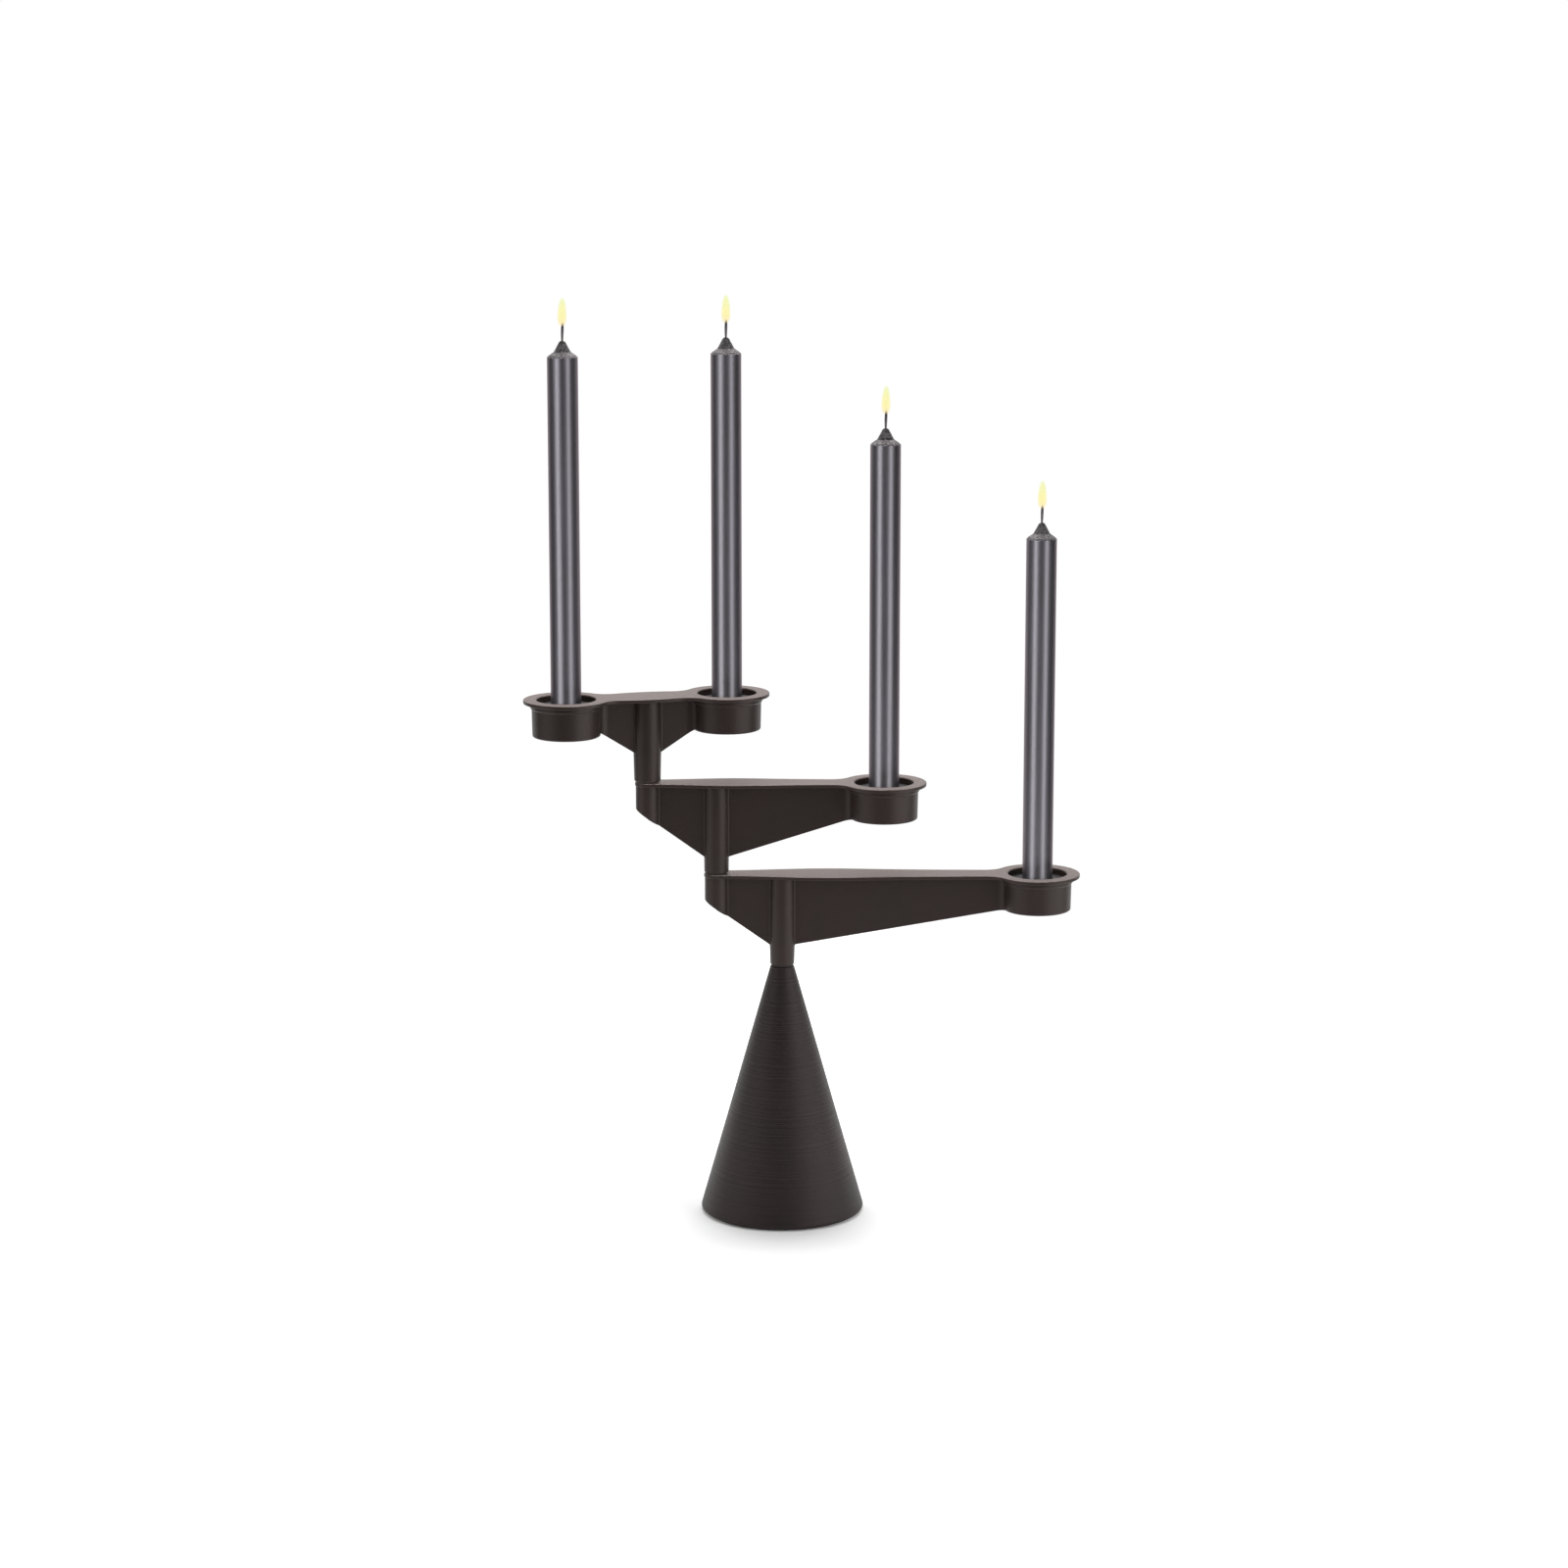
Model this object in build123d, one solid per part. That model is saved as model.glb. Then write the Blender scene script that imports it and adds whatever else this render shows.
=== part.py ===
from build123d import *

import os
from dataclasses import dataclass

# A tabletop candelabra. A weighted cone carries three arms, one above the other. Each arm
# swivels on a pin that drops into a bush in the piece below it, and its cups hold candles.
# Millimetres. +Z is up, the origin is the centre of the felt's underside, and the lower arm
# lies along X with its cup towards +X.

# Cone, the foot of the candelabra
cone_foot_radius = 60.8
cone_height = 185.5
cone_top_radius = 8.6
cone_wall = 4.2
cone_foot_edge = 2.5
cone_top_edge = 0.6
cone_solid_tip = 56.0
cone_above_table = 0.8

# Closing plate, felt and weight in the cone
closing_plate_thickness = 3.0
closing_plate_ledge = 1.3
closing_plate_edge = 0.4
felt_thickness = 1.5
felt_inset = 2.2
weight_height = 55.0
closing_screw_circle_radius = 36.0
closing_screw_count = 3
closing_screw_length = 12.0

# Tie bolt that draws the weight up into the cone
tie_bolt_radius = 4.0
tie_bolt_thread = 16.0
tie_bolt_head_across_flats = 13.0
tie_bolt_head_height = 5.3
tie_bolt_hole_play = 0.5
tie_washer_radius = 8.0
tie_washer_thickness = 1.6
tie_pocket_play = 2.0

# Pivots
pin_radius = 4.0
pin_end_chamfer = 0.8
pin_in_stem = 20.0
pin_in_cone = 30.0
pin_in_boss = 17.0
pin_end_gap = 1.0
bush_wall = 2.0
thrust_washer_thickness = 0.8
thrust_washer_inset = 1.0
thrust_washer_bore_play = 0.3
stem_foot_edge = 0.7

# Arms: the height from the washer under the stem to the plate's top, and the distance from
# the arm's own pivot to the centre of its cup and of the boss that carries the next arm
lower_height = 68.4
lower_reach = 186.5
lower_boss_reach = 48.0
middle_height = 67.1
middle_reach = 122.0
middle_boss_reach = 50.0
upper_height = 62.8
upper_reach = 59.5
upper_turn = 14.0

# What every arm has in common
plate_thickness = 2.6
plate_edge = 0.6
web_thickness = 5.0
web_root_fillet = 4.0
web_side_fillet = 2.0
web_cup_fillet = 7.5
web_bite = 2.0
web_burial = 0.3
boss_radius = 8.6
boss_plate_radius = 9.1
boss_side_height = 19.9
boss_lower_edge = 1.0
cut_margin = 1.0

# Cups
cup_rim_radius = 31.0
cup_wall_top_radius = 25.0
cup_wall_foot_radius = 24.6
cup_bore_radius = 21.5
cup_height = 27.0
cup_floor = 3.0
cup_foot_edge = 1.2
cup_bore_edge = 0.6
cup_collar_height = 4.2
cup_collar_proud = 0.9
neck_inset = 24.0
neck_fillet = 15.0

# Candle sockets, turned inserts in the cups
socket_recess = 4.5
socket_plate_thickness = 3.0
socket_wall = 2.5
socket_floor = 4.0
socket_mouth_edge = 0.6
socket_screw_length = 6.0

# Countersunk screws
screw_radius = 2.0
screw_head_radius = 3.9
screw_drive_across_flats = 2.5
screw_drive_depth = 1.4

# Candles
candle_radius = 11.0
candle_length = 277.5
candle_tip_radius = 1.5
candle_tip_edge = 0.9
candle_point_height = 7.7
candle_point_foot_radius = 6.1
candle_shoulder_height = 2.5
candle_shoulder_radius = 9.7
candle_shoulder_bevel = 1.3
wick_radius = 0.7
wick_above_candle = 13.0

# Clearances
fixed_clearance = 0.02
running_clearance = 0.05
seat_clearance = 0.2
candle_clearance = 0.3


@dataclass
class Arm:
    """One casting: its sizes from its own pivot, with its main cup along its own +X."""

    name: str
    height: float
    stem_radius: float
    stem_foot_radius: float
    web_foot_height: float
    cup_reach: float
    web_above_cup_foot: float
    plate_widths: list
    neck_half_width: float
    boss_reach: float = 0.0
    turn: float = 0.0


lower = Arm(
    "lower", lower_height, stem_radius=9.3, stem_foot_radius=8.85, web_foot_height=15.2,
    cup_reach=lower_reach, web_above_cup_foot=0.5, plate_widths=[(25.0, 15.6), (80.0, 13.0)],
    neck_half_width=10.8, boss_reach=lower_boss_reach,
)
middle = Arm(
    "middle", middle_height, stem_radius=9.05, stem_foot_radius=8.9, web_foot_height=12.0,
    cup_reach=middle_reach, web_above_cup_foot=0.4, plate_widths=[(10.0, 14.0), (46.0, 12.0)],
    neck_half_width=10.0, boss_reach=middle_boss_reach,
)
upper = Arm(
    "upper", upper_height, stem_radius=10.1, stem_foot_radius=9.6, web_foot_height=21.6,
    cup_reach=upper_reach, web_above_cup_foot=2.8, plate_widths=[(0.0, 16.5)],
    neck_half_width=11.0, turn=upper_turn,
)

bush_radius = pin_radius + running_clearance + bush_wall
closing_plate_top = felt_thickness + closing_plate_thickness


def turned(points):
    """A solid of revolution about Z, from (radius, height) points."""
    outline = Polyline(*[(r, 0, z) for r, z in points], close=True)
    return revolve(Face(Wire(outline.edges())), Axis.Z)


def rod(radius, low, high):
    """A plain round bar about Z."""
    return Pos(0, 0, low) * extrude(Circle(radius), high - low)


def ring(inner, outer, low, high):
    """A plain tube about Z."""
    return rod(outer, low, high) - rod(inner, low, high)


def save(name, shape):
    export_step(shape, f"parts/{name}.step")


def cone_radius(z):
    """The cone's outer radius at a height above the table."""
    return cone_foot_radius - (cone_foot_radius - cone_top_radius) * z / cone_height


def cavity_radius(z):
    return cone_radius(z) - cone_wall


def countersunk_screw(length):
    """A screw with its flat head down at Z 0 and its shank up."""
    head_height = screw_head_radius - screw_radius
    body = turned([
        (0, 0), (screw_head_radius, 0), (screw_radius, head_height), (screw_radius, length), (0, length),
    ])
    drive = extrude(RegularPolygon(screw_drive_across_flats / 2, 6, major_radius=False), screw_drive_depth)
    return body - drive


def countersunk_hole(length):
    """The hole for such a screw, a fixed clearance larger all round."""
    wide, narrow = screw_head_radius + fixed_clearance, screw_radius + fixed_clearance
    return turned([(0, 0), (wide, 0), (narrow, wide - narrow), (narrow, length), (0, length)])


# The cone and what is in it

cavity_top = cone_height - cone_solid_tip
plate_seat_radius = cavity_radius(closing_plate_top) + closing_plate_ledge
weight_foot = closing_plate_top + seat_clearance
weight_top = weight_foot + weight_height
tie_pocket_top = weight_foot + tie_bolt_head_height + tie_washer_thickness + tie_pocket_play
screw_places = PolarLocations(closing_screw_circle_radius, closing_screw_count)


def make_cone():
    outer = turned([
        (0, cone_above_table), (cone_radius(cone_above_table), cone_above_table),
        (cone_top_radius, cone_height), (0, cone_height),
    ])
    outer = fillet(outer.edges().group_by(Axis.Z)[0], cone_foot_edge)
    outer = chamfer(outer.edges().group_by(Axis.Z)[-1], cone_top_edge)
    cavity = turned([
        (0, 0), (plate_seat_radius, 0), (plate_seat_radius, closing_plate_top),
        (cavity_radius(closing_plate_top), closing_plate_top), (cavity_radius(cavity_top), cavity_top),
        (0, cavity_top),
    ])
    bush_bore = rod(bush_radius + fixed_clearance, cone_height - pin_in_cone - pin_end_gap, cone_height)
    bolt_hole = rod(tie_bolt_radius + fixed_clearance, cavity_top, cavity_top + tie_bolt_thread)
    return outer - cavity - bush_bore - bolt_hole


def make_weight():
    body = turned([
        (0, weight_foot), (cavity_radius(weight_foot) - fixed_clearance, weight_foot),
        (cavity_radius(weight_top) - fixed_clearance, weight_top), (0, weight_top),
    ])
    pocket = rod(tie_washer_radius + tie_pocket_play, weight_foot, tie_pocket_top)
    bolt_hole = rod(tie_bolt_radius + tie_bolt_hole_play, weight_foot, weight_top)
    screw_holes = [
        Pos(0, 0, felt_thickness) * place * rod(screw_radius + fixed_clearance, 0, closing_screw_length)
        for place in screw_places
    ]
    return body - pocket - bolt_hole - screw_holes


def make_tie_washer():
    low = tie_pocket_top - tie_washer_thickness
    return ring(tie_bolt_radius + fixed_clearance, tie_washer_radius, low, tie_pocket_top)


def make_tie_bolt():
    head_top = tie_pocket_top - tie_washer_thickness
    hexagon = RegularPolygon(tie_bolt_head_across_flats / 2, 6, major_radius=False)
    head = Pos(0, 0, head_top - tie_bolt_head_height) * extrude(hexagon, tie_bolt_head_height)
    return head + rod(tie_bolt_radius, head_top, cavity_top + tie_bolt_thread)


def make_closing_plate():
    plate = rod(plate_seat_radius - seat_clearance, felt_thickness, closing_plate_top)
    plate = chamfer(plate.edges().group_by(Axis.Z)[0], closing_plate_edge)
    holes = [
        Pos(0, 0, felt_thickness) * place * countersunk_hole(closing_screw_length) for place in screw_places
    ]
    return plate - holes


def make_closing_screws():
    return Compound([
        Pos(0, 0, felt_thickness) * place * countersunk_screw(closing_screw_length)
        for place in screw_places
    ])


def make_felt():
    return rod(plate_seat_radius - felt_inset, 0, felt_thickness)


# The pivots

def make_pin(joint_z, depth):
    body = rod(pin_radius, joint_z - depth, joint_z + thrust_washer_thickness + pin_in_stem)
    return chamfer(body.edges().filter_by(GeomType.CIRCLE), pin_end_chamfer)


def make_bush(joint_z, depth):
    return ring(pin_radius + running_clearance, bush_radius, joint_z - depth, joint_z)


def make_thrust_washer(joint_z, carrier_radius):
    inner = pin_radius + thrust_washer_bore_play
    return ring(inner, carrier_radius - thrust_washer_inset, joint_z, joint_z + thrust_washer_thickness)


# The arms, each from its own pivot at X 0, Y 0, with heights above the table

def cup_places(arm):
    """The X of each cup's centre."""
    return [arm.cup_reach] if arm.boss_reach else [-arm.cup_reach, arm.cup_reach]


def plate_outline(arm):
    """The flat plate's shape seen from above: a bowed strip that runs into the round rims."""
    neck = (arm.cup_reach - neck_inset, arm.neck_half_width)
    start = (-arm.boss_reach, boss_plate_radius) if arm.boss_reach else (-neck[0], neck[1])
    back = [start, *arm.plate_widths, neck]
    front = [(x, -y) for x, y in back]
    if arm.boss_reach:
        front_side = Spline(*front, tangents=[(1, 0), (1, 0.02)])
        back_side = Spline(*reversed(back), tangents=[(-1, 0.02), (-1, 0)])
    else:
        front_side, back_side = ThreePointArc(*front), ThreePointArc(*reversed(back))
    sides = [front_side, Line(front[-1], back[-1]), back_side, Line(back[0], front[0])]
    strip = Face(Wire([edge for side in sides for edge in side.edges()]))
    outline = Sketch() + strip
    for x in cup_places(arm):
        outline += Pos(x, 0) * Circle(cup_rim_radius)
    if arm.boss_reach:
        outline += Pos(-arm.boss_reach, 0) * Circle(boss_plate_radius)
    return outline


def make_plate(arm, top_z):
    """The flat plate, with its strip blended into the rims and its edges eased."""
    plate = extrude(Pos(0, 0, top_z - plate_thickness) * plate_outline(arm), plate_thickness)
    corners = [
        edge for edge in plate.edges().filter_by(Axis.Z)
        if any(neck_inset < abs(edge.center().X - x) < cup_rim_radius for x in cup_places(arm))
    ]
    plate = fillet(corners, neck_fillet)
    return fillet(plate.edges().group_by(Axis.Z)[-1] + plate.edges().group_by(Axis.Z)[0], plate_edge)


def web_corners(arm, prism, at_cups):
    """The upright inner corners where the web meets its cups, or the stem and the boss."""
    return [
        edge for edge in prism.edges().filter_by(Axis.Z)
        if abs(abs(edge.center().Y) - web_thickness / 2) < web_burial
        and at_cups == any(abs(edge.center().X - x) < cup_wall_foot_radius for x in cup_places(arm))
    ]


def make_web(arm, foot_z, top_z):
    """The upright web: its plan, filleted where it meets round pieces, cut to its side view."""
    under_plate = top_z - plate_thickness
    right = arm.cup_reach
    left = -arm.boss_reach if arm.boss_reach else -right
    plan = Pos((left + right) / 2, 0) * Rectangle(right - left, web_thickness)
    plan += Circle(arm.stem_radius - web_burial)
    for x in cup_places(arm):
        plan += Pos(x, 0) * Circle(cup_wall_foot_radius - web_burial)
    if arm.boss_reach:
        plan += Pos(left, 0) * Circle(boss_radius - web_burial)
    prism = extrude(Pos(0, 0, foot_z) * plan, under_plate - foot_z)
    prism = fillet(web_corners(arm, prism, at_cups=False), web_side_fillet)
    prism = fillet(web_corners(arm, prism, at_cups=True), web_cup_fillet)
    return prism & make_web_side(arm, foot_z, top_z)


def make_web_side(arm, foot_z, top_z):
    """The web's side view, as a block deeper than any round piece, with its roots filleted."""
    under_plate = top_z - plate_thickness
    web_foot = foot_z + arm.web_foot_height
    root_x = arm.stem_radius - web_bite
    root_z = web_foot - 2 * web_root_fillet
    end_x = arm.cup_reach - cup_wall_foot_radius + web_bite
    cup_z = top_z - cup_height + arm.web_above_cup_foot
    slope = (cup_z - web_foot) / (end_x - arm.stem_radius)
    right = [
        (root_x, root_z), (root_x, web_foot + slope * (root_x - arm.stem_radius)), (end_x, cup_z),
        (end_x, under_plate),
    ]
    if arm.boss_reach:
        line = boss_line(arm, foot_z, top_z)
        left = [
            (-arm.boss_reach, under_plate), (-arm.boss_reach, line(-arm.boss_reach)),
            (-root_x, line(-root_x)), (-root_x, root_z),
        ]
    else:
        left = [(-x, z) for x, z in reversed(right)]
    outline = Polyline(*[(x, 0, z) for x, z in left + right], close=True)
    block = extrude(Face(Wire(outline.edges())), cup_rim_radius, both=True)
    roots = [
        edge for edge in block.edges().filter_by(Axis.Y)
        if abs(edge.center().X) < arm.stem_radius and edge.center().Z > root_z + web_root_fillet
    ]
    return fillet(roots, web_root_fillet)


def boss_line(arm, foot_z, top_z):
    """The height of the sloping cut under the boss and its web, as a function of X."""
    side_x, side_z = -arm.boss_reach - boss_radius, top_z - boss_side_height
    slope = (foot_z + arm.web_foot_height - side_z) / (-arm.stem_radius - side_x)
    return lambda x: side_z + slope * (x - side_x)


def make_boss(arm, foot_z, top_z):
    line = boss_line(arm, foot_z, top_z)
    left, right = -arm.boss_reach - boss_radius, -arm.boss_reach + boss_radius
    low = line(right) - boss_radius
    cut_left, cut_right = left - cut_margin, right + cut_margin
    cut = Polyline(
        (cut_left, 0, line(cut_left)), (cut_right, 0, line(cut_right)),
        (cut_right, 0, low), (cut_left, 0, low), close=True,
    )
    boss = Pos(-arm.boss_reach, 0) * rod(boss_radius, low, top_z - plate_thickness)
    boss -= extrude(Face(Wire(cut.edges())), boss_radius * 2, both=True)
    return fillet(boss.edges().group_by(Axis.Z)[0], boss_lower_edge)


def make_cup_wall(top_z):
    """A cup's outside below the plate, still solid, with the collar that carries the rim."""
    foot, under = top_z - cup_height, top_z - plate_thickness
    collar_radius = cup_wall_top_radius + cup_collar_proud
    wall = turned([
        (0, foot), (cup_wall_foot_radius, foot), (cup_wall_top_radius, under - cup_collar_height),
        (collar_radius, under - cup_collar_height + cup_collar_proud), (collar_radius, under), (0, under),
    ])
    return fillet(wall.edges().group_by(Axis.Z)[0], cup_foot_edge)


def make_arm(arm, foot_z):
    top_z = foot_z + arm.height
    under_plate = top_z - plate_thickness
    plate = make_plate(arm, top_z)
    stem = turned([
        (0, foot_z), (arm.stem_foot_radius, foot_z), (arm.stem_radius, foot_z + arm.web_foot_height),
        (arm.stem_radius, under_plate), (0, under_plate),
    ])
    stem = chamfer(stem.edges().group_by(Axis.Z)[0], stem_foot_edge)
    casting = plate + make_web(arm, foot_z, top_z) + stem
    for x in cup_places(arm):
        casting += Pos(x, 0) * make_cup_wall(top_z)
    if arm.boss_reach:
        casting += make_boss(arm, foot_z, top_z)
        bush_bore = rod(bush_radius + fixed_clearance, top_z - pin_in_boss - pin_end_gap, top_z)
        casting -= Pos(-arm.boss_reach, 0) * bush_bore
    casting -= rod(pin_radius + fixed_clearance, foot_z, foot_z + pin_in_stem + pin_end_gap)
    floor_z = top_z - cup_height + cup_floor
    bore = turned([
        (0, floor_z), (cup_bore_radius, floor_z), (cup_bore_radius, top_z - cup_bore_edge),
        (cup_bore_radius + cup_bore_edge, top_z), (0, top_z),
    ])
    for x in cup_places(arm):
        casting -= Pos(x, 0) * bore
        casting -= Pos(x, 0, top_z - cup_height) * countersunk_hole(cup_height / 2)
    return casting


def make_socket(top_z):
    """A turned insert: a round plate below the cup's rim, on a tube that holds the candle."""
    floor_z = top_z - cup_height + cup_floor
    plate_top = top_z - socket_recess
    plate_low = plate_top - socket_plate_thickness
    plate_radius = cup_bore_radius - fixed_clearance
    bore = candle_radius + candle_clearance
    tube = bore + socket_wall
    body = turned([
        (0, floor_z), (tube, floor_z), (tube, plate_low), (plate_radius, plate_low),
        (plate_radius, plate_top), (bore + socket_mouth_edge, plate_top),
        (bore, plate_top - socket_mouth_edge),
        (bore, floor_z + socket_floor), (0, floor_z + socket_floor),
    ])
    return body - Pos(0, 0, top_z - cup_height) * rod(screw_radius + fixed_clearance, 0, socket_screw_length)


def candle_foot(top_z):
    return top_z - cup_height + cup_floor + socket_floor


def make_candle(top_z):
    """A dinner candle: a steep point that widens in a crease to a flatter shoulder."""
    low = candle_foot(top_z)
    tip = low + candle_length
    crease = tip - candle_point_height
    shoulder = crease - candle_shoulder_height
    body = turned([
        (0, low), (candle_radius, low), (candle_radius, shoulder - candle_shoulder_bevel),
        (candle_shoulder_radius, shoulder), (candle_point_foot_radius, crease),
        (candle_tip_radius + candle_tip_edge, tip - candle_tip_edge), (candle_tip_radius, tip), (0, tip),
    ])
    return body - rod(wick_radius + fixed_clearance, low, tip)


def make_wick(top_z):
    low = candle_foot(top_z)
    return rod(wick_radius, low, low + candle_length + wick_above_candle)


def write_base():
    save("base_cone", make_cone())
    save("base_weight", make_weight())
    save("weight_tie_bolt", make_tie_bolt())
    save("weight_washer", make_tie_washer())
    save("closing_plate", make_closing_plate())
    save("closing_plate_screws", make_closing_screws())
    save("felt_pad", make_felt())


def write_arm(arm, place, foot_z):
    """The casting, and for each cup its socket, screw, candle and wick."""
    top_z = foot_z + arm.height
    save(f"{arm.name}_arm", place * make_arm(arm, foot_z))
    sides = [""] if arm.boss_reach else ["_left", "_right"]
    for side, x in zip(sides, cup_places(arm)):
        cup = place * Pos(x, 0)
        save(f"{arm.name}{side}_socket", cup * make_socket(top_z))
        screw = Pos(0, 0, top_z - cup_height) * countersunk_screw(socket_screw_length)
        save(f"{arm.name}{side}_socket_screw", cup * screw)
        save(f"{arm.name}{side}_candle", cup * make_candle(top_z))
        save(f"{arm.name}{side}_wick", cup * make_wick(top_z))


def write_pivot(name, place, joint_z, depth, carrier_radius):
    save(f"{name}_pivot_pin", place * make_pin(joint_z, depth))
    save(f"{name}_pivot_bush", place * make_bush(joint_z, depth))
    save(f"{name}_thrust_washer", place * make_thrust_washer(joint_z, carrier_radius))


def main():
    os.makedirs("parts", exist_ok=True)
    write_base()
    place, joint_z, depth, carrier_radius = Pos(0, 0), cone_height, pin_in_cone, cone_top_radius
    for arm in (lower, middle, upper):
        write_pivot(arm.name, place, joint_z, depth, carrier_radius)
        place = place * Rot(0, 0, arm.turn)
        write_arm(arm, place, joint_z + thrust_washer_thickness)
        joint_z += thrust_washer_thickness + arm.height
        place = place * Pos(-arm.boss_reach, 0)
        depth, carrier_radius = pin_in_boss, boss_radius


main()
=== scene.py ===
from math import cos, pi, radians, sin

import bpy
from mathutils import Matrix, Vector


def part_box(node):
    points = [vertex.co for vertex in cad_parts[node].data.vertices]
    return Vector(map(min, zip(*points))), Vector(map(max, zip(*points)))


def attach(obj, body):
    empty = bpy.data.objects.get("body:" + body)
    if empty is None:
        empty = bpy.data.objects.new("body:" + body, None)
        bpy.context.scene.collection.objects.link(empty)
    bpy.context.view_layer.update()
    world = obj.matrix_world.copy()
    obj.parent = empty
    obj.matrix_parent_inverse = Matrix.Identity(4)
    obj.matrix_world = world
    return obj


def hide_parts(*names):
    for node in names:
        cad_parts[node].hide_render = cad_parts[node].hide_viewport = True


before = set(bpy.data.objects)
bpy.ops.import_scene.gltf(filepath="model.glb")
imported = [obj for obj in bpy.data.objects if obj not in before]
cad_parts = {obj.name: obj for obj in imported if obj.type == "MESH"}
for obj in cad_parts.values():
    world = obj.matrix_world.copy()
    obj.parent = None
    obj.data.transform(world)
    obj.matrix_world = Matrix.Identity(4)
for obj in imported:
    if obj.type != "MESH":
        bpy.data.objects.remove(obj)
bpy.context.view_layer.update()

# The candles, by the name that their nodes and bodies start with, and how far each wick leans
CANDLES = {"lower": 0.0002, "middle": 0.0003, "upper_left": 0.0004, "upper_right": 0.0002}

# A wick's rings: what each is measured from, how far above that, its radius, its share of the lean
WICK_SIDES = 8
WICK_RINGS = [
    ("foot", 0.0, 0.00055, 0.0), ("wax tip", -0.002, 0.00065, 0.0),
    ("wax tip", 0.001, 0.00085, 0.0), ("wax tip", 0.004, 0.00105, 0.15),
    ("wax tip", 0.007, 0.00115, 0.4), ("wax tip", 0.010, 0.00105, 0.7),
    ("end", -0.0012, 0.00090, 1.0), ("end", -0.0002, 0.00035, 1.0),
]

# A flame: how far it reaches above and below its wick's end, its greatest radius, how wide it is
# up its height, and the girths of its skins, the inner ones of which are drawn in at both ends
FLAME_SIDES = 12
FLAME_ABOVE_WICK = 0.0175
FLAME_BELOW_WICK = 0.0025
FLAME_RADIUS = 0.0035
FLAME_SHAPE = [
    (0.0, 0.35), (0.05, 0.72), (0.16, 0.94), (0.32, 1.0),
    (0.55, 0.92), (0.78, 0.74), (0.93, 0.5), (1.0, 0.2),
]
SKIN_GIRTHS = (1.0, 0.72, 0.45)
SKIN_INSET = 0.004

# The coat on the cone and the castings, and a paler colour on their level faces that is painted top
# light
COAT_TINT = (1.0, 0.88, 0.86, 1.0)
# The share of the lighter edge colour: handled wear, and on the castings partly a painted glint
WORN_AND_GLINT_SHARE = 0.7
PAINTED_TOP_LIGHT = (0.075, 0.064, 0.061)
LEVEL_FROM, LEVEL_TO = 0.9, 0.99

# The boss washers that the stems turn over, and a ring round each stem's foot left dark as painted
# shade
BOSS_WASHERS = ("middle_thrust_washer", "upper_thrust_washer")
PAINTED_SHADE_RADIUS = 0.0105
TOP_LIGHT_RADIUS = 0.012

# The wax, and the soot round each candle's very tip
WAX_TINT = (1.0, 0.84, 0.90, 1.0)
SOOT = (0.018, 0.015, 0.014)
SOOT_RADIUS = 0.0038
DENSE_SOOT_RADIUS = 0.0018

# How far from its wick's end the cotton starts to char, and where it is all charred
CHARRED = (0.02, 0.017, 0.016)
CHAR_START = 0.007
CHAR_FULL = 0.002

# How much brighter a bare metal's worn edges are, and how its roughness varies with its tool marks
EDGE_GAIN = 2.2
ROUGHNESS_SPREAD = 0.07

# The floor, the shares of its radius over which it fades out, how much whiter it looks near the
# foot and further out, and the middle and radii of a painted shadow in front of the foot, where it
# isn't made whiter
FLOOR_SIDES = 96
FLOOR_RADIUS = 1.0
FADE_FROM, FADE_TO = 0.8, 0.98
NEAR_LIFT = 0.22
FAR_LIFT = 0.3
FAR_LIFT_FROM, FAR_LIFT_TO = 0.1, 0.3
SHADE_MIDDLE = (0, -0.035, 0)
SHADE_FROM, SHADE_TO = 0.035, 0.075

# The even light from all round, and the drape, which is open behind DRAPE_BACK
AMBIENT = 0.3
DRAPE_SIDES = 72
DRAPE_RADIUS = 3.1
DRAPE_LOW = -1.4
DRAPE_HIGH = 2.2
DRAPE_BACK = 1.3

# How far off the softboxes at the sides stand
SIDE_DISTANCE = 2.4

# The place of the overhead softboxes, one for each casting alone, and how bright each is
OVERHEAD = (0, -0.1, 1.9)
UNDER_OVERHEAD = (0, -0.1, 0)
OVERHEAD_RADIANCES = {"lower_arm": 48.0, "middle_arm": 48.0, "upper_arm": 43.0}

# The camera, with its angle in degrees, and its lens and sensor in millimetres
CAMERA_PLACE = (0.0013, -2.7963, 0.8833)
CAMERA_LOOKS_DOWN = 11.37
CAMERA_LENS = 90.0
SENSOR_WIDTH = 36.0


def box_axis(node):
    """The x and y of the upright line through the middle of a node."""
    low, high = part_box(node)
    return (low.x + high.x) / 2, (low.y + high.y) / 2


def box_foot(node):
    return *box_axis(node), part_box(node)[0].z


def box_top(node):
    return *box_axis(node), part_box(node)[1].z


# Shader nodes

def add_node(tree, kind, inputs=None, **settings):
    """Adds a node, sets its own settings, and sets or links its inputs by name or number."""
    node = tree.nodes.new(kind)
    for setting, value in settings.items():
        setattr(node, setting, value)
    for socket, value in (inputs or {}).items():
        if isinstance(value, bpy.types.NodeSocket):
            tree.links.new(value, node.inputs[socket])
        else:
            node.inputs[socket].default_value = value
    return node


def start_group(name, inputs, outputs):
    """A shader node group with float inputs at their usual values, and its ends."""
    tree = bpy.data.node_groups.new(name, "ShaderNodeTree")
    for socket, value in inputs.items():
        made = tree.interface.new_socket(socket, in_out="INPUT", socket_type="NodeSocketFloat")
        made.default_value = value
    for socket in outputs:
        tree.interface.new_socket(socket, in_out="OUTPUT", socket_type="NodeSocketFloat")
    given = tree.nodes.new("NodeGroupInput")
    return tree, given.outputs, tree.nodes.new("NodeGroupOutput")


def object_place(tree, scale=(1, 1, 1), location=(0, 0, 0)):
    """Object coordinates, scaled and moved."""
    place = add_node(tree, "ShaderNodeTexCoord").outputs["Object"]
    mapping = add_node(
        tree, "ShaderNodeMapping", {"Vector": place, "Scale": scale, "Location": location},
    )
    return mapping.outputs["Vector"]


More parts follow.
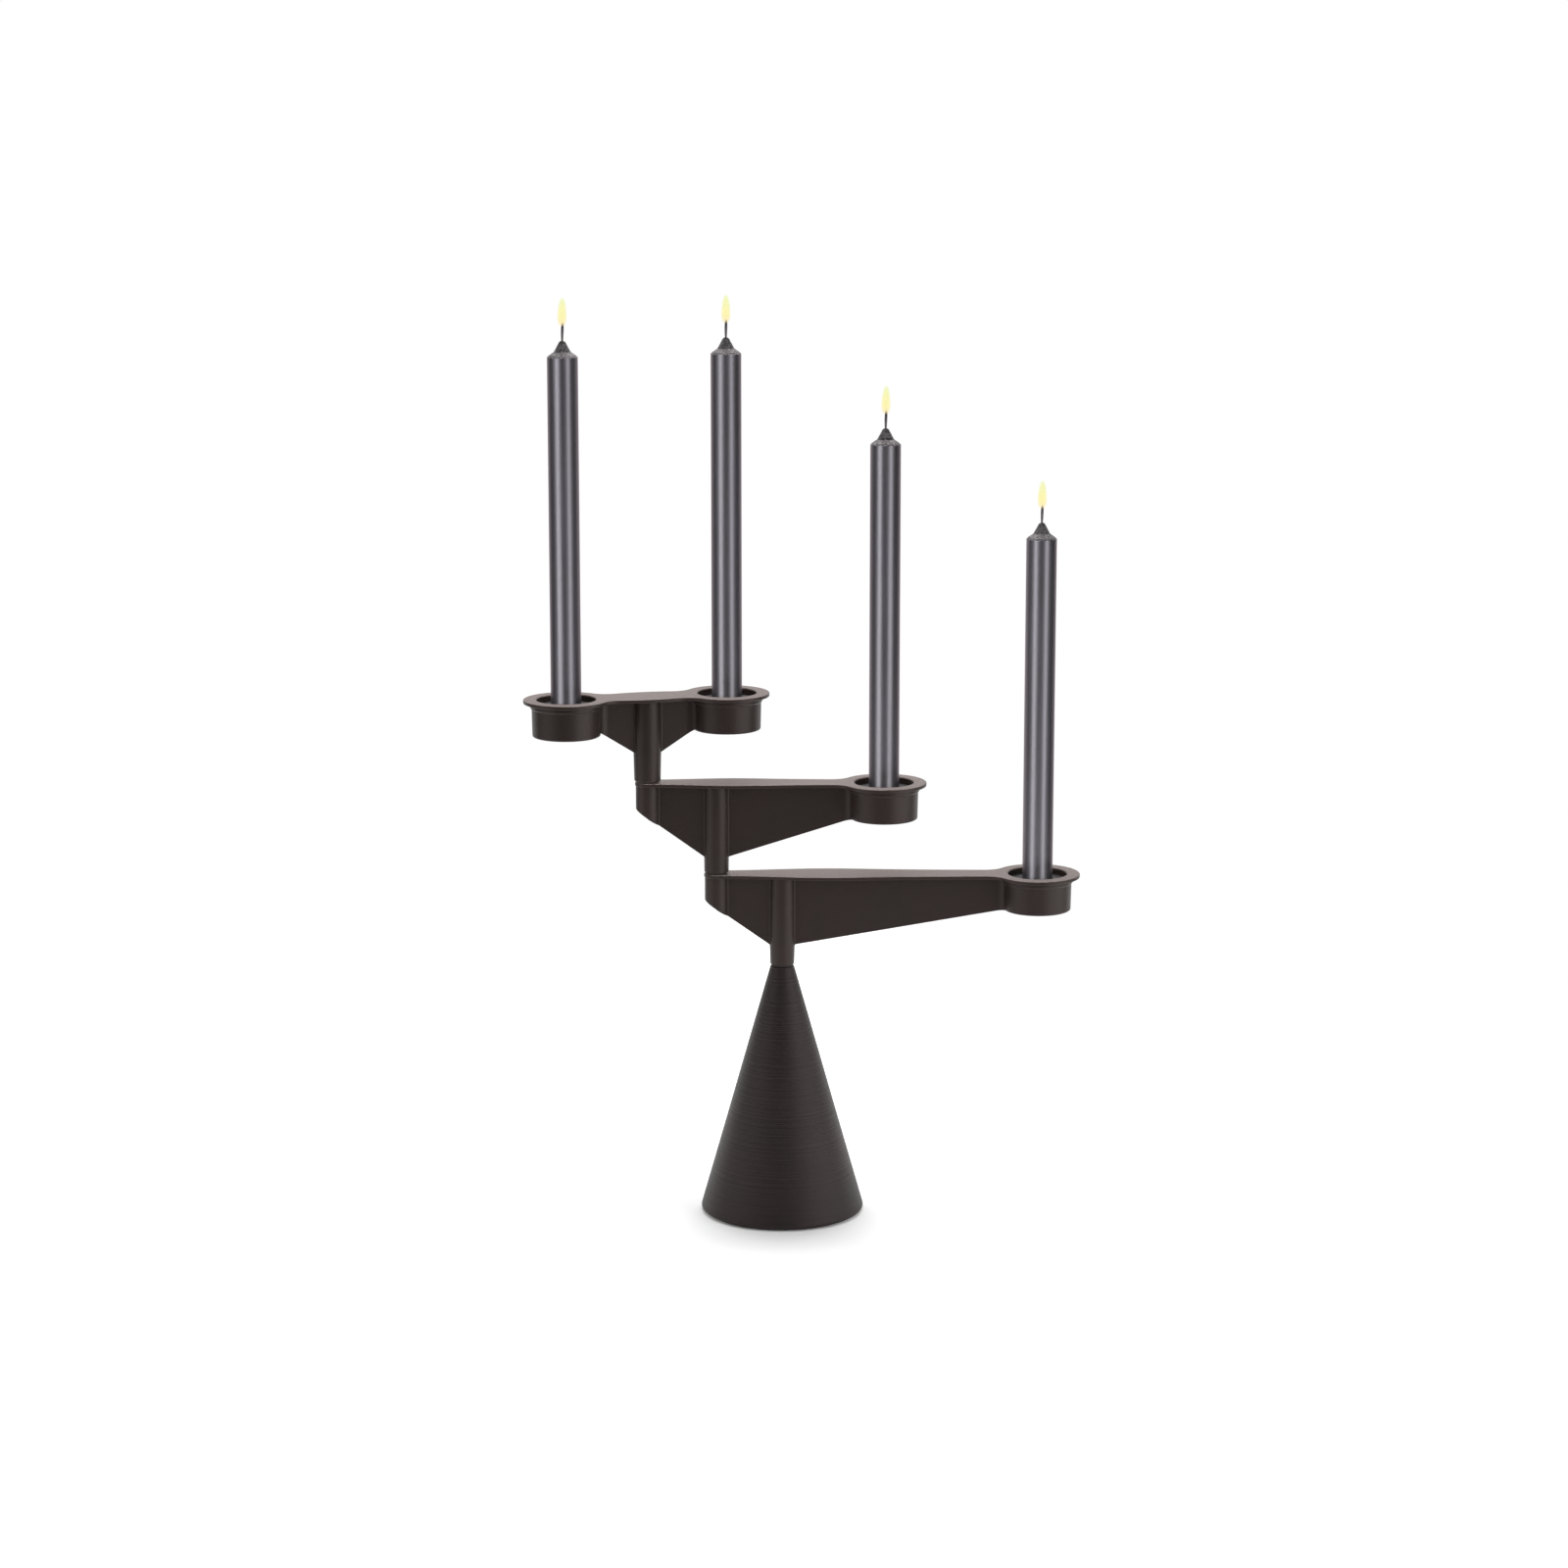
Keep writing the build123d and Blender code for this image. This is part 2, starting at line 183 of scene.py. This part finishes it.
def length(tree, vector):
    return add_node(tree, "ShaderNodeVectorMath", {0: vector}, operation="LENGTH").outputs["Value"]


def distance_from(tree, spot):
    """How far a point is from a spot on its piece."""
    return length(tree, object_place(tree, location=[-along for along in spot]))


def upright_part(tree, vector):
    return add_node(tree, "ShaderNodeSeparateXYZ", {"Vector": vector}).outputs["Z"]


def facing_up(tree):
    """How far a face looks upward: 1 where it is level, and 0 where it is upright."""
    return upright_part(tree, add_node(tree, "ShaderNodeTexCoord").outputs["Normal"])


def noise(tree, vector, scale, detail=3.0, roughness=0.55):
    made = add_node(
        tree, "ShaderNodeTexNoise",
        {"Vector": vector, "Scale": scale, "Detail": detail, "Roughness": roughness},
    )
    return made.outputs["Fac"]


def line_noise(tree, along, scale, detail, roughness=0.5):
    """Noise that changes with one number alone."""
    made = add_node(
        tree, "ShaderNodeTexNoise",
        {"W": along, "Scale": scale, "Detail": detail, "Roughness": roughness},
        noise_dimensions="1D",
    )
    return made.outputs["Fac"]


def remap(tree, value, low, high, new_low=0.0, new_high=1.0):
    """A value carried from one range to another, and held inside it."""
    made = add_node(
        tree, "ShaderNodeMapRange",
        {"Value": value, "From Min": low, "From Max": high, "To Min": new_low, "To Max": new_high},
    )
    return made.outputs["Result"]


def maths(tree, operation, first, second):
    made = add_node(tree, "ShaderNodeMath", {0: first, 1: second}, operation=operation)
    return made.outputs["Value"]


def blend(tree, mask, first, second):
    """The first colour where the mask is 0, and the second where it is 1."""
    made = add_node(tree, "ShaderNodeMix", {"Factor": mask}, data_type="RGBA")
    for socket, value in ((made.inputs[6], first), (made.inputs[7], second)):
        if isinstance(value, bpy.types.NodeSocket):
            tree.links.new(value, socket)
        else:
            socket.default_value = (*value, 1.0)
    return made.outputs[2]


def make_grit():
    """The skin of a sprayed coat: fine grit for height, and slow clouds for colour."""
    tree, given, ends = start_group(
        "grit", {"Grit size": 0.0006, "Cloud size": 0.03}, ("Grit", "Clouds"),
    )
    place = object_place(tree)
    grit = noise(tree, place, maths(tree, "DIVIDE", 1.0, given["Grit size"]), 4.0, 0.7)
    clouds = noise(tree, place, maths(tree, "DIVIDE", 1.0, given["Cloud size"]))
    tree.links.new(remap(tree, grit, 0.3, 0.7), ends.inputs["Grit"])
    tree.links.new(remap(tree, clouds, 0.35, 0.65), ends.inputs["Clouds"])
    return tree


def make_turning_marks():
    """Level tool marks of uneven depth, up any turned side."""
    tree, given, ends = start_group(
        "turning_marks", {"Pitch": 0.0012, "Waver": 0.0003}, ("Marks",),
    )
    place = object_place(tree)
    waver = maths(tree, "MULTIPLY", noise(tree, place, 40.0, 1.0), given["Waver"])
    height = maths(tree, "ADD", upright_part(tree, place), waver)
    marks = line_noise(tree, maths(tree, "DIVIDE", height, given["Pitch"]), 1.0, 3.0, 0.75)
    tree.links.new(remap(tree, marks, 0.25, 0.75), ends.inputs["Marks"])
    return tree


def make_edge_wear():
    """Where a sharp edge has been handled: a broken line along it."""
    tree, given, ends = start_group("edge_wear", {"Width": 0.0006, "Breaks": 0.004}, ("Wear",))
    rounded = add_node(tree, "ShaderNodeBevel", {"Radius": given["Width"]}, samples=4)
    flat = add_node(tree, "ShaderNodeNewGeometry").outputs["Normal"]
    facing = add_node(
        tree, "ShaderNodeVectorMath", {0: rounded.outputs["Normal"], 1: flat},
        operation="DOT_PRODUCT",
    )
    edge = remap(tree, facing.outputs["Value"], 0.98, 0.8)
    broken = noise(tree, object_place(tree), maths(tree, "DIVIDE", 1.0, given["Breaks"]), 4.0, 0.7)
    wear = maths(tree, "MULTIPLY", edge, remap(tree, broken, 0.35, 0.65))
    tree.links.new(wear, ends.inputs["Wear"])
    return tree


GRIT = make_grit()
TURNING_MARKS = make_turning_marks()
EDGE_WEAR = make_edge_wear()


def place_group(tree, group, **values):
    """A group in a material, with its own values, given back as its named outputs."""
    node = add_node(tree, "ShaderNodeGroup", node_tree=group)
    for socket, value in values.items():
        node.inputs[socket.replace("_", " ")].default_value = value
    return node.outputs


# Finishes

def start_finish(name, **settings):
    """A new material and its shader, with plain numbers set on the shader itself."""
    material = bpy.data.materials.new(name)
    material.use_nodes = True
    tree = material.node_tree
    shader = tree.nodes["Principled BSDF"]
    for socket, value in settings.items():
        shader.inputs[socket.replace("_", " ")].default_value = value
    return material, tree, shader


def finish_surface(tree, shader, colour, roughness, heights):
    """Links colour, roughness and bumps, each bump as (height, depth in metres)."""
    tree.links.new(colour, shader.inputs["Base Color"])
    tree.links.new(roughness, shader.inputs["Roughness"])
    normal = None
    for height, depth in heights:
        bump = add_node(
            tree, "ShaderNodeBump", {"Height": height, "Distance": depth, "Strength": 1.0},
        )
        if normal:
            tree.links.new(normal, bump.inputs["Normal"])
        normal = bump.outputs["Normal"]
    tree.links.new(normal, shader.inputs["Normal"])


def dark_coat(name, index, body, cloud, worn_and_glint, dull, bright, mark_pitch, mark_depth, grit_depth):
    """The satin coat over the cone and the castings, duller on level faces, where a paler colour is
    painted light from above.
    """
    material, tree, shader = start_finish(name, IOR=index, Specular_Tint=COAT_TINT)
    grit = place_group(tree, GRIT, Grit_size=0.0009, Cloud_size=0.035)
    marks = place_group(tree, TURNING_MARKS, Pitch=mark_pitch, Waver=0.0004)
    wear = place_group(tree, EDGE_WEAR, Width=0.0007, Breaks=0.003)
    level = remap(tree, facing_up(tree), LEVEL_FROM, LEVEL_TO)
    painted_light_and_dull_mask = maths(tree, "MULTIPLY", level, remap(tree, grit["Grit"], 0.0, 1.0, 0.8, 1.0))
    # Painted shade: no painted top light in a ring round each stem's foot
    for washer in BOSS_WASHERS:
        from_boss_top = distance_from(tree, box_foot(washer))
        outside_stem_shade = remap(tree, from_boss_top, PAINTED_SHADE_RADIUS, TOP_LIGHT_RADIUS)
        painted_light_and_dull_mask = maths(tree, "MULTIPLY", painted_light_and_dull_mask, outside_stem_shade)
    colour = blend(tree, grit["Clouds"], body, cloud)
    # Level faces paler: painted light falling from above
    colour = blend(tree, painted_light_and_dull_mask, colour, PAINTED_TOP_LIGHT)
    # Lighter broken lines along edges: handled wear, and on the castings partly a painted glint
    colour = blend(tree, maths(tree, "MULTIPLY", wear["Wear"], WORN_AND_GLINT_SHARE), colour, worn_and_glint)
    roughness = remap(tree, grit["Grit"], 0.0, 1.0, bright, dull)
    roughness = maths(tree, "MAXIMUM", roughness, painted_light_and_dull_mask)
    finish_surface(
        tree, shader, colour, roughness,
        [(grit["Grit"], grit_depth), (marks["Marks"], mark_depth)],
    )
    return material


def candle_wax():
    """Dark dipped wax with a pearl skin, streaked along its length and dull at its poured point."""
    material, tree, shader = start_finish("pearl_wax", IOR=1.44, Specular_Tint=WAX_TINT)
    streaks = noise(tree, object_place(tree, (1, 1, 0.02)), 450.0)
    rings = noise(tree, object_place(tree, (0.2, 0.2, 1)), 160.0, 2.0)
    pits = remap(tree, noise(tree, object_place(tree), 620.0, 2.0, 0.6), 0.38, 0.6)
    grit = place_group(tree, GRIT, Grit_size=0.0007, Cloud_size=0.02)
    sloped = remap(tree, facing_up(tree), 0.25, 0.45)
    streaked = remap(tree, streaks, 0.3, 0.7)
    clouded = maths(tree, "MULTIPLY", grit["Clouds"], 0.4)
    dipped = blend(tree, streaked, (0.120, 0.116, 0.130), (0.145, 0.141, 0.158))
    dipped = blend(tree, clouded, dipped, (0.130, 0.124, 0.130))
    poured = blend(tree, pits, (0.125, 0.121, 0.124), (0.036, 0.034, 0.036))
    for candle in CANDLES:
        from_tip = distance_from(tree, box_top(candle + "_candle"))
        sooty = remap(tree, from_tip, SOOT_RADIUS, DENSE_SOOT_RADIUS)
        poured = blend(tree, sooty, poured, SOOT)
    colour = blend(tree, sloped, dipped, poured)
    roughness = remap(tree, streaks, 0.2, 0.8, 0.34, 0.42)
    pearl = remap(tree, sloped, 0.0, 1.0, 0.8, 0.2)
    poured_pits = maths(tree, "MULTIPLY", sloped, pits)
    tree.links.new(pearl, shader.inputs["Metallic"])
    finish_surface(
        tree, shader, colour, roughness,
        [(streaks, 0.00004), (rings, 0.00012), (grit["Grit"], 0.00001), (poured_pits, 0.0002)],
    )
    return material


def turned_metal(name, body, cloud, metallic, rough, centre=(0, 0)):
    """Bare or dyed metal with round tool marks about its own centre, and brighter edges."""
    material, tree, shader = start_finish(name, Metallic=metallic)
    flattened = object_place(tree, scale=(1, 1, 0), location=(-centre[0], -centre[1], 0))
    rings = line_noise(tree, length(tree, flattened), 2500.0, 2.0)
    grit = place_group(tree, GRIT, Grit_size=0.0005, Cloud_size=0.012)
    wear = place_group(tree, EDGE_WEAR, Width=0.0004, Breaks=0.002)
    brighter = [min(1.0, EDGE_GAIN * channel) for channel in body]
    colour = blend(tree, grit["Clouds"], body, cloud)
    colour = blend(tree, wear["Wear"], colour, brighter)
    roughness = remap(tree, rings, 0.3, 0.7, rough - ROUGHNESS_SPREAD, rough + ROUGHNESS_SPREAD)
    finish_surface(tree, shader, colour, roughness, [(rings, 0.00003), (grit["Grit"], 0.00001)])
    return material


def gritty_finish(name, grit_size, cloud_size, body, cloud, bright, dull, depth, **settings):
    """A plain finish with its grit, its clouds and nothing more."""
    material, tree, shader = start_finish(name, **settings)
    grit = place_group(tree, GRIT, Grit_size=grit_size, Cloud_size=cloud_size)
    colour = blend(tree, grit["Clouds"], body, cloud)
    roughness = remap(tree, grit["Grit"], 0.0, 1.0, bright, dull)
    finish_surface(tree, shader, colour, roughness, [(grit["Grit"], depth)])
    return material


def wool_felt():
    """Pressed wool, with short fibres that cross."""
    material, tree, shader = start_finish("wool_felt", Sheen_Weight=0.3)
    fibres = noise(tree, object_place(tree, (1, 3, 1)), 900.0, 5.0, 0.8)
    crossing = noise(tree, object_place(tree, (3, 1, 1)), 700.0, 5.0, 0.8)
    fuzz = maths(tree, "MULTIPLY", fibres, crossing)
    colour = blend(tree, remap(tree, fuzz, 0.1, 0.4), (0.012, 0.012, 0.013), (0.045, 0.044, 0.046))
    roughness = remap(tree, fibres, 0.0, 1.0, 0.9, 1.0)
    finish_surface(tree, shader, colour, roughness, [(fuzz, 0.0004)])
    return material


def burnt_cotton(wick_top):
    """Braided cotton, waxed grey at the foot and charred towards its end."""
    material, tree, shader = start_finish("burnt_cotton_" + str(round(wick_top * 1000)))
    place = object_place(tree)
    braid = add_node(
        tree, "ShaderNodeTexWave",
        {"Vector": place, "Scale": 260.0, "Distortion": 2.0, "Detail": 2.0},
        bands_direction="DIAGONAL",
    ).outputs["Fac"]
    height = upright_part(tree, place)
    charred = remap(tree, height, wick_top - CHAR_START, wick_top - CHAR_FULL)
    cotton = blend(tree, braid, (0.10, 0.085, 0.09), (0.17, 0.145, 0.15))
    colour = blend(tree, charred, cotton, CHARRED)
    roughness = remap(tree, braid, 0.0, 1.0, 0.75, 0.95)
    finish_surface(tree, shader, colour, roughness, [(braid, 0.0002)])
    return material


def fire(foot, top):
    """Thin yellow flame, redder at its foot, greener at its tip, and thinner at both ends."""
    material, tree, shader = start_finish(
        "fire_" + str(round(top * 1000)), Base_Color=(0.0, 0.0, 0.0, 1.0), Roughness=1.0,
        Specular_IOR_Level=0.0, Emission_Strength=1.0,
    )
    up = remap(tree, upright_part(tree, object_place(tree)), foot, top)
    flicker = noise(tree, object_place(tree, (1, 1, 0.4)), 300.0, 2.0)
    glow = blend(tree, remap(tree, up, 0.0, 0.3), (1.0, 0.79, 0.42), (0.98, 0.91, 0.40))
    glow = blend(tree, remap(tree, up, 0.45, 1.0), glow, (0.86, 0.93, 0.48))
    glow = blend(tree, maths(tree, "MULTIPLY", flicker, 0.25), glow, (1.0, 0.97, 0.62))
    body = remap(tree, up, 0.0, 0.25, 0.28, 0.42)
    fade = remap(tree, up, 0.75, 1.0, 1.0, 0.75)
    tree.links.new(glow, shader.inputs["Emission Color"])
    tree.links.new(maths(tree, "MULTIPLY", body, fade), shader.inputs["Alpha"])
    return material


# New pieces

def deselect_all():
    for chosen in list(bpy.context.selected_objects):
        chosen.select_set(False)


def draw_up(name, x, y, rings, sides):
    """A closed round piece drawn upward ring by ring, each ring as (height, radius, shift)."""
    deselect_all()
    height, radius, shift = rings[0]
    bpy.ops.mesh.primitive_circle_add(
        vertices=sides, radius=radius, fill_type="TRIFAN", location=(x + shift, y, height),
    )
    piece = bpy.context.object
    piece.name = name
    bpy.ops.object.mode_set(mode="EDIT")
    bpy.ops.mesh.select_all(action="SELECT")
    for next_height, next_radius, next_shift in rings[1:]:
        bpy.ops.mesh.extrude_region_move(
            TRANSFORM_OT_translate={"value": (next_shift - shift, 0, next_height - height)},
        )
        bpy.ops.transform.resize(value=(next_radius / radius, next_radius / radius, 1))
        height, radius, shift = next_height, next_radius, next_shift
    bpy.ops.mesh.select_all(action="SELECT")
    bpy.ops.mesh.normals_make_consistent(inside=False)
    bpy.ops.object.mode_set(mode="OBJECT")
    bpy.ops.object.transform_apply(location=True, rotation=True, scale=True)
    bpy.ops.object.shade_smooth()
    return piece


def soften(piece):
    """Rounds a piece off with two levels of subdivision, applied."""
    rounding = piece.modifiers.new("rounding", "SUBSURF")
    rounding.levels = rounding.render_levels = 2
    deselect_all()
    piece.select_set(True)
    bpy.context.view_layer.objects.active = piece
    bpy.ops.object.modifier_apply(modifier=rounding.name)


def make_wick(candle, lean):
    """A braided wick from the candle's foot to its burnt, slightly bent end."""
    foot, end = box_foot(candle + "_wick")[2], box_top(candle + "_wick")[2]
    levels = {"foot": foot, "wax tip": box_top(candle + "_candle")[2], "end": end}
    rings = [
        (levels[level] + rise, radius, share * lean) for level, rise, radius, share in WICK_RINGS
    ]
    wick = draw_up(candle + "_burnt_wick", *box_axis(candle + "_wick"), rings, WICK_SIDES)
    soften(wick)
    wick.data.materials.append(burnt_cotton(end))
    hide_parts(candle + "_wick")
    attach(wick, candle + "_candle")


def make_flame(candle, lean):
    """Thin skins of fire, one inside the other, so that the flame is densest in its middle."""
    x, y, wick_end = box_top(candle + "_wick")
    foot, top = wick_end - FLAME_BELOW_WICK, wick_end + FLAME_ABOVE_WICK
    skins = []
    for number, girth in enumerate(SKIN_GIRTHS):
        inset = (1.0 - girth) * SKIN_INSET
        skin_height = top - foot - 2 * inset
        rings = [
            (foot + inset + skin_height * up, FLAME_RADIUS * girth * wide, lean * up * up)
            for up, wide in FLAME_SHAPE
        ]
        skin = draw_up(candle + "_flame_skin_" + str(number), x, y, rings, FLAME_SIDES)
        soften(skin)
        skins.append(skin)
    deselect_all()
    for skin in skins:
        skin.select_set(True)
    bpy.context.view_layer.objects.active = skins[0]
    bpy.ops.object.join()
    flame = bpy.context.object
    flame.name = candle + "_flame"
    flame.data.materials.append(fire(foot, top))
    flame.visible_shadow = False
    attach(flame, candle + "_candle")


for candle, lean in CANDLES.items():
    make_wick(candle, lean)
    make_flame(candle, lean)


# Finishes on the pieces from model.glb, by the name of the material that each has there

plain_finishes = {
    "cone_coating": dark_coat(
        "cone_coat", index=1.41, body=(0.0205, 0.0132, 0.0132), cloud=(0.0170, 0.0132, 0.0130),
        worn_and_glint=(0.09, 0.07, 0.065), dull=0.56, bright=0.46,
        mark_pitch=0.0022, mark_depth=0.00020, grit_depth=0.00002,
    ),
    "arm_coating": dark_coat(
        "arm_coat", index=1.36, body=(0.0250, 0.0160, 0.0150), cloud=(0.0215, 0.0160, 0.0128),
        # The castings' lighter edge colour is partly a painted glint along their edges
        worn_and_glint=(0.17, 0.145, 0.14), dull=0.45, bright=0.35,
        mark_pitch=0.0017, mark_depth=0.00002, grit_depth=0.00002,
    ),
    "candle_wax": candle_wax(),
    "raw_iron": gritty_finish(
        "foundry_iron", grit_size=0.0025, cloud_size=0.02, body=(0.10, 0.095, 0.09),
        cloud=(0.13, 0.09, 0.065), bright=0.6, dull=0.85, depth=0.0003, Metallic=0.6,
    ),
    "zinc_steel": turned_metal(
        "zinc_plate", body=(0.42, 0.43, 0.45), cloud=(0.50, 0.48, 0.42), metallic=1.0, rough=0.35,
    ),
    "ground_steel": turned_metal(
        "ground_steel", body=(0.50, 0.50, 0.50), cloud=(0.44, 0.44, 0.45), metallic=1.0, rough=0.22,
    ),
    "bronze": turned_metal(
        "oiled_bronze", body=(0.48, 0.30, 0.12), cloud=(0.40, 0.23, 0.09), metallic=1.0, rough=0.3,
    ),
    "nylon": gritty_finish(
        "black_nylon", grit_size=0.0004, cloud_size=0.004, body=(0.010, 0.010, 0.011),
        cloud=(0.016, 0.015, 0.015), bright=0.5, dull=0.62, depth=0.00003, IOR=1.53,
    ),
    "felt": wool_felt(),
}


def socket_metal(socket):
    """Dark dyed metal, with its tool marks round the socket's own bore."""
    return turned_metal(
        socket + "_metal", body=(0.011, 0.009, 0.009), cloud=(0.014, 0.010, 0.010),
        metallic=0.4, rough=0.5, centre=box_axis(socket),
    )


for name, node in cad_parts.items():
    for held in node.material_slots:
        if held.material.name == "socket_finish":
            held.material = socket_metal(name)
        elif held.material.name in plain_finishes:
            held.material = plain_finishes[held.material.name]


# Floor, background, lights and camera

def camera_or_mirror(tree):
    """1 for what the camera sees straight, in a gloss or through something clear."""
    path = add_node(tree, "ShaderNodeLightPath").outputs
    seen = maths(tree, "MAXIMUM", path["Is Camera Ray"], path["Is Glossy Ray"])
    return maths(tree, "MAXIMUM", seen, path["Is Transmission Ray"])


def make_floor():
    """A pale floor made white to the camera by a glow, with a painted shadow in front of the foot
    where the glow is held back, and fading out at its rim.
    """
    deselect_all()
    bpy.ops.mesh.primitive_circle_add(vertices=FLOOR_SIDES, radius=FLOOR_RADIUS, fill_type="NGON")
    floor = bpy.context.object
    floor.name = "pale_floor"
    material = bpy.data.materials.new("pale_floor")
    material.use_nodes = True
    tree = material.node_tree
    tree.nodes.clear()
    paper = add_node(tree, "ShaderNodeBsdfDiffuse", {"Color": (0.9, 0.9, 0.9, 1), "Roughness": 0.5})
    from_middle = distance_from(tree, (0, 0, 0))
    from_shade = distance_from(tree, SHADE_MIDDLE)
    # Painted shadow: no glow round SHADE_MIDDLE, just in front of the foot
    near_lift = remap(tree, from_shade, SHADE_FROM, SHADE_TO, 0.0, NEAR_LIFT)
    # More glow further out, which also paints over the arms' faint shadows
    far_lift = remap(tree, from_middle, FAR_LIFT_FROM, FAR_LIFT_TO, 0.0, FAR_LIFT)
    lift = maths(tree, "MULTIPLY", camera_or_mirror(tree), maths(tree, "ADD", near_lift, far_lift))
    glow = add_node(tree, "ShaderNodeEmission", {"Strength": lift})
    lit = add_node(tree, "ShaderNodeAddShader", {0: paper.outputs[0], 1: glow.outputs[0]})
    fade = remap(tree, from_middle, FLOOR_RADIUS * FADE_FROM, FLOOR_RADIUS * FADE_TO)
    clear = add_node(tree, "ShaderNodeBsdfTransparent")
    mixed = add_node(tree, "ShaderNodeMixShader", {0: fade, 1: lit.outputs[0], 2: clear.outputs[0]})
    add_node(tree, "ShaderNodeOutputMaterial", {"Surface": mixed.outputs[0]})
    floor.data.materials.append(material)


def make_world():
    """White to the eye and in reflections, and a low even light on everything."""
    world = bpy.data.worlds.new("studio")
    bpy.context.scene.world = world
    world.use_nodes = True
    tree = world.node_tree
    tree.nodes.clear()
    strength = remap(tree, camera_or_mirror(tree), 0.0, 1.0, AMBIENT, 1.0)
    white = add_node(tree, "ShaderNodeBackground", {"Color": (1, 1, 1, 1), "Strength": strength})
    add_node(tree, "ShaderNodeOutputWorld", {"Surface": white.outputs[0]})


def make_drape():
    """A dark curtain round the front and sides and overhead, which only reflections see."""
    deselect_all()
    bpy.ops.mesh.primitive_circle_add(
        vertices=DRAPE_SIDES, radius=DRAPE_RADIUS, fill_type="NOTHING", location=(0, 0, DRAPE_LOW),
    )
    drape = bpy.context.object
    drape.name = "dark_drape"
    bpy.ops.object.mode_set(mode="EDIT")
    bpy.ops.mesh.select_all(action="SELECT")
    bpy.ops.mesh.extrude_region_move(
        TRANSFORM_OT_translate={"value": (0, 0, DRAPE_HIGH - DRAPE_LOW)},
    )
    bpy.ops.mesh.edge_face_add()
    bpy.ops.mesh.select_all(action="SELECT")
    bpy.ops.mesh.bisect(
        plane_co=(0, DRAPE_BACK, 0), plane_no=(0, 1, 0), clear_outer=True, clear_inner=False,
    )
    bpy.ops.object.mode_set(mode="OBJECT")
    bpy.ops.object.transform_apply(location=True, rotation=True, scale=True)
    material = start_finish(
        "dark_drape", Base_Color=(0.02, 0.02, 0.02, 1.0), Roughness=1.0, Specular_IOR_Level=0.0,
    )[0]
    drape.data.materials.append(material)
    drape.visible_camera = False
    drape.visible_diffuse = False
    drape.visible_shadow = False
    drape.visible_transmission = False


def make_light_groups():
    """Two sets of receivers: the candles alone, and everything but the candles."""
    wax_only = bpy.data.collections.new("wax_only")
    all_but_wax = bpy.data.collections.new("all_but_wax")
    for candle in CANDLES:
        wax_only.objects.link(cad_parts[candle + "_candle"])
        all_but_wax.objects.link(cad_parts[candle + "_candle"])
    for member in all_but_wax.collection_objects:
        member.light_linking.link_state = "EXCLUDE"
    return wax_only, all_but_wax


def make_softbox(name, place, aim, width, height, radiance, receivers=None, blockers=None):
    """A rectangular area light of even brightness, aimed at a point."""
    lamp = bpy.data.lights.new(name, "AREA")
    lamp.shape = "RECTANGLE"
    lamp.size, lamp.size_y = width, height
    lamp.energy = radiance * pi * width * height
    box = bpy.data.objects.new(name, lamp)
    bpy.context.scene.collection.objects.link(box)
    box.location = place
    box.rotation_euler = (Vector(place) - Vector(aim)).to_track_quat("Z", "Y").to_euler()
    box.light_linking.receiver_collection = receivers
    box.light_linking.blocker_collection = blockers


def make_side_box(name, azimuth, level, width, height, radiance, receivers, blockers=None):
    """An upright softbox that faces inward, with its azimuth counted from the camera's own side."""
    turn = radians(azimuth)
    place = (SIDE_DISTANCE * sin(turn), -SIDE_DISTANCE * cos(turn), level)
    make_softbox(name, place, (0, 0, level), width, height, radiance, receivers, blockers)


def make_lights():
    """Softboxes for the candles alone, walls for the rest, one top light, and the overheads."""
    wax_only, all_but_wax = make_light_groups()
    make_side_box(
        "left_candle_box", azimuth=-43, level=0.15, width=1.1, height=1.7, radiance=5.8,
        receivers=wax_only, blockers=wax_only,
    )
    make_side_box(
        "right_candle_box", azimuth=41, level=0.15, width=0.95, height=1.7, radiance=5.0,
        receivers=wax_only, blockers=wax_only,
    )
    make_side_box(
        "left_wall", azimuth=-65, level=0.5, width=2.4, height=2.6, radiance=1.0,
        receivers=all_but_wax,
    )
    make_side_box(
        "right_wall", azimuth=63, level=0.5, width=2.8, height=2.6, radiance=2.1,
        receivers=all_but_wax,
    )
    make_softbox("top_box", (0, 0.7, 1.9), (0, 0, 0), width=1.7, height=1.7, radiance=4.4)
    for arm, radiance in OVERHEAD_RADIANCES.items():
        alone = bpy.data.collections.new(arm + "_alone")
        alone.objects.link(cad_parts[arm])
        make_softbox(
            arm + "_overhead_box", OVERHEAD, UNDER_OVERHEAD, width=0.9, height=0.5,
            radiance=radiance, receivers=alone, blockers=alone,
        )


def make_camera():
    """The camera, level across and looking a little down."""
    camera_data = bpy.data.cameras.new("camera")
    camera_data.lens = CAMERA_LENS
    camera_data.sensor_width = SENSOR_WIDTH
    camera = bpy.data.objects.new("camera", camera_data)
    bpy.context.scene.collection.objects.link(camera)
    camera.location = CAMERA_PLACE
    camera.rotation_euler = (radians(90 - CAMERA_LOOKS_DOWN), 0, 0)
    bpy.context.scene.camera = camera


make_floor()
make_world()
make_drape()
make_lights()
make_camera()
bpy.context.scene.view_settings.view_transform = "Standard"
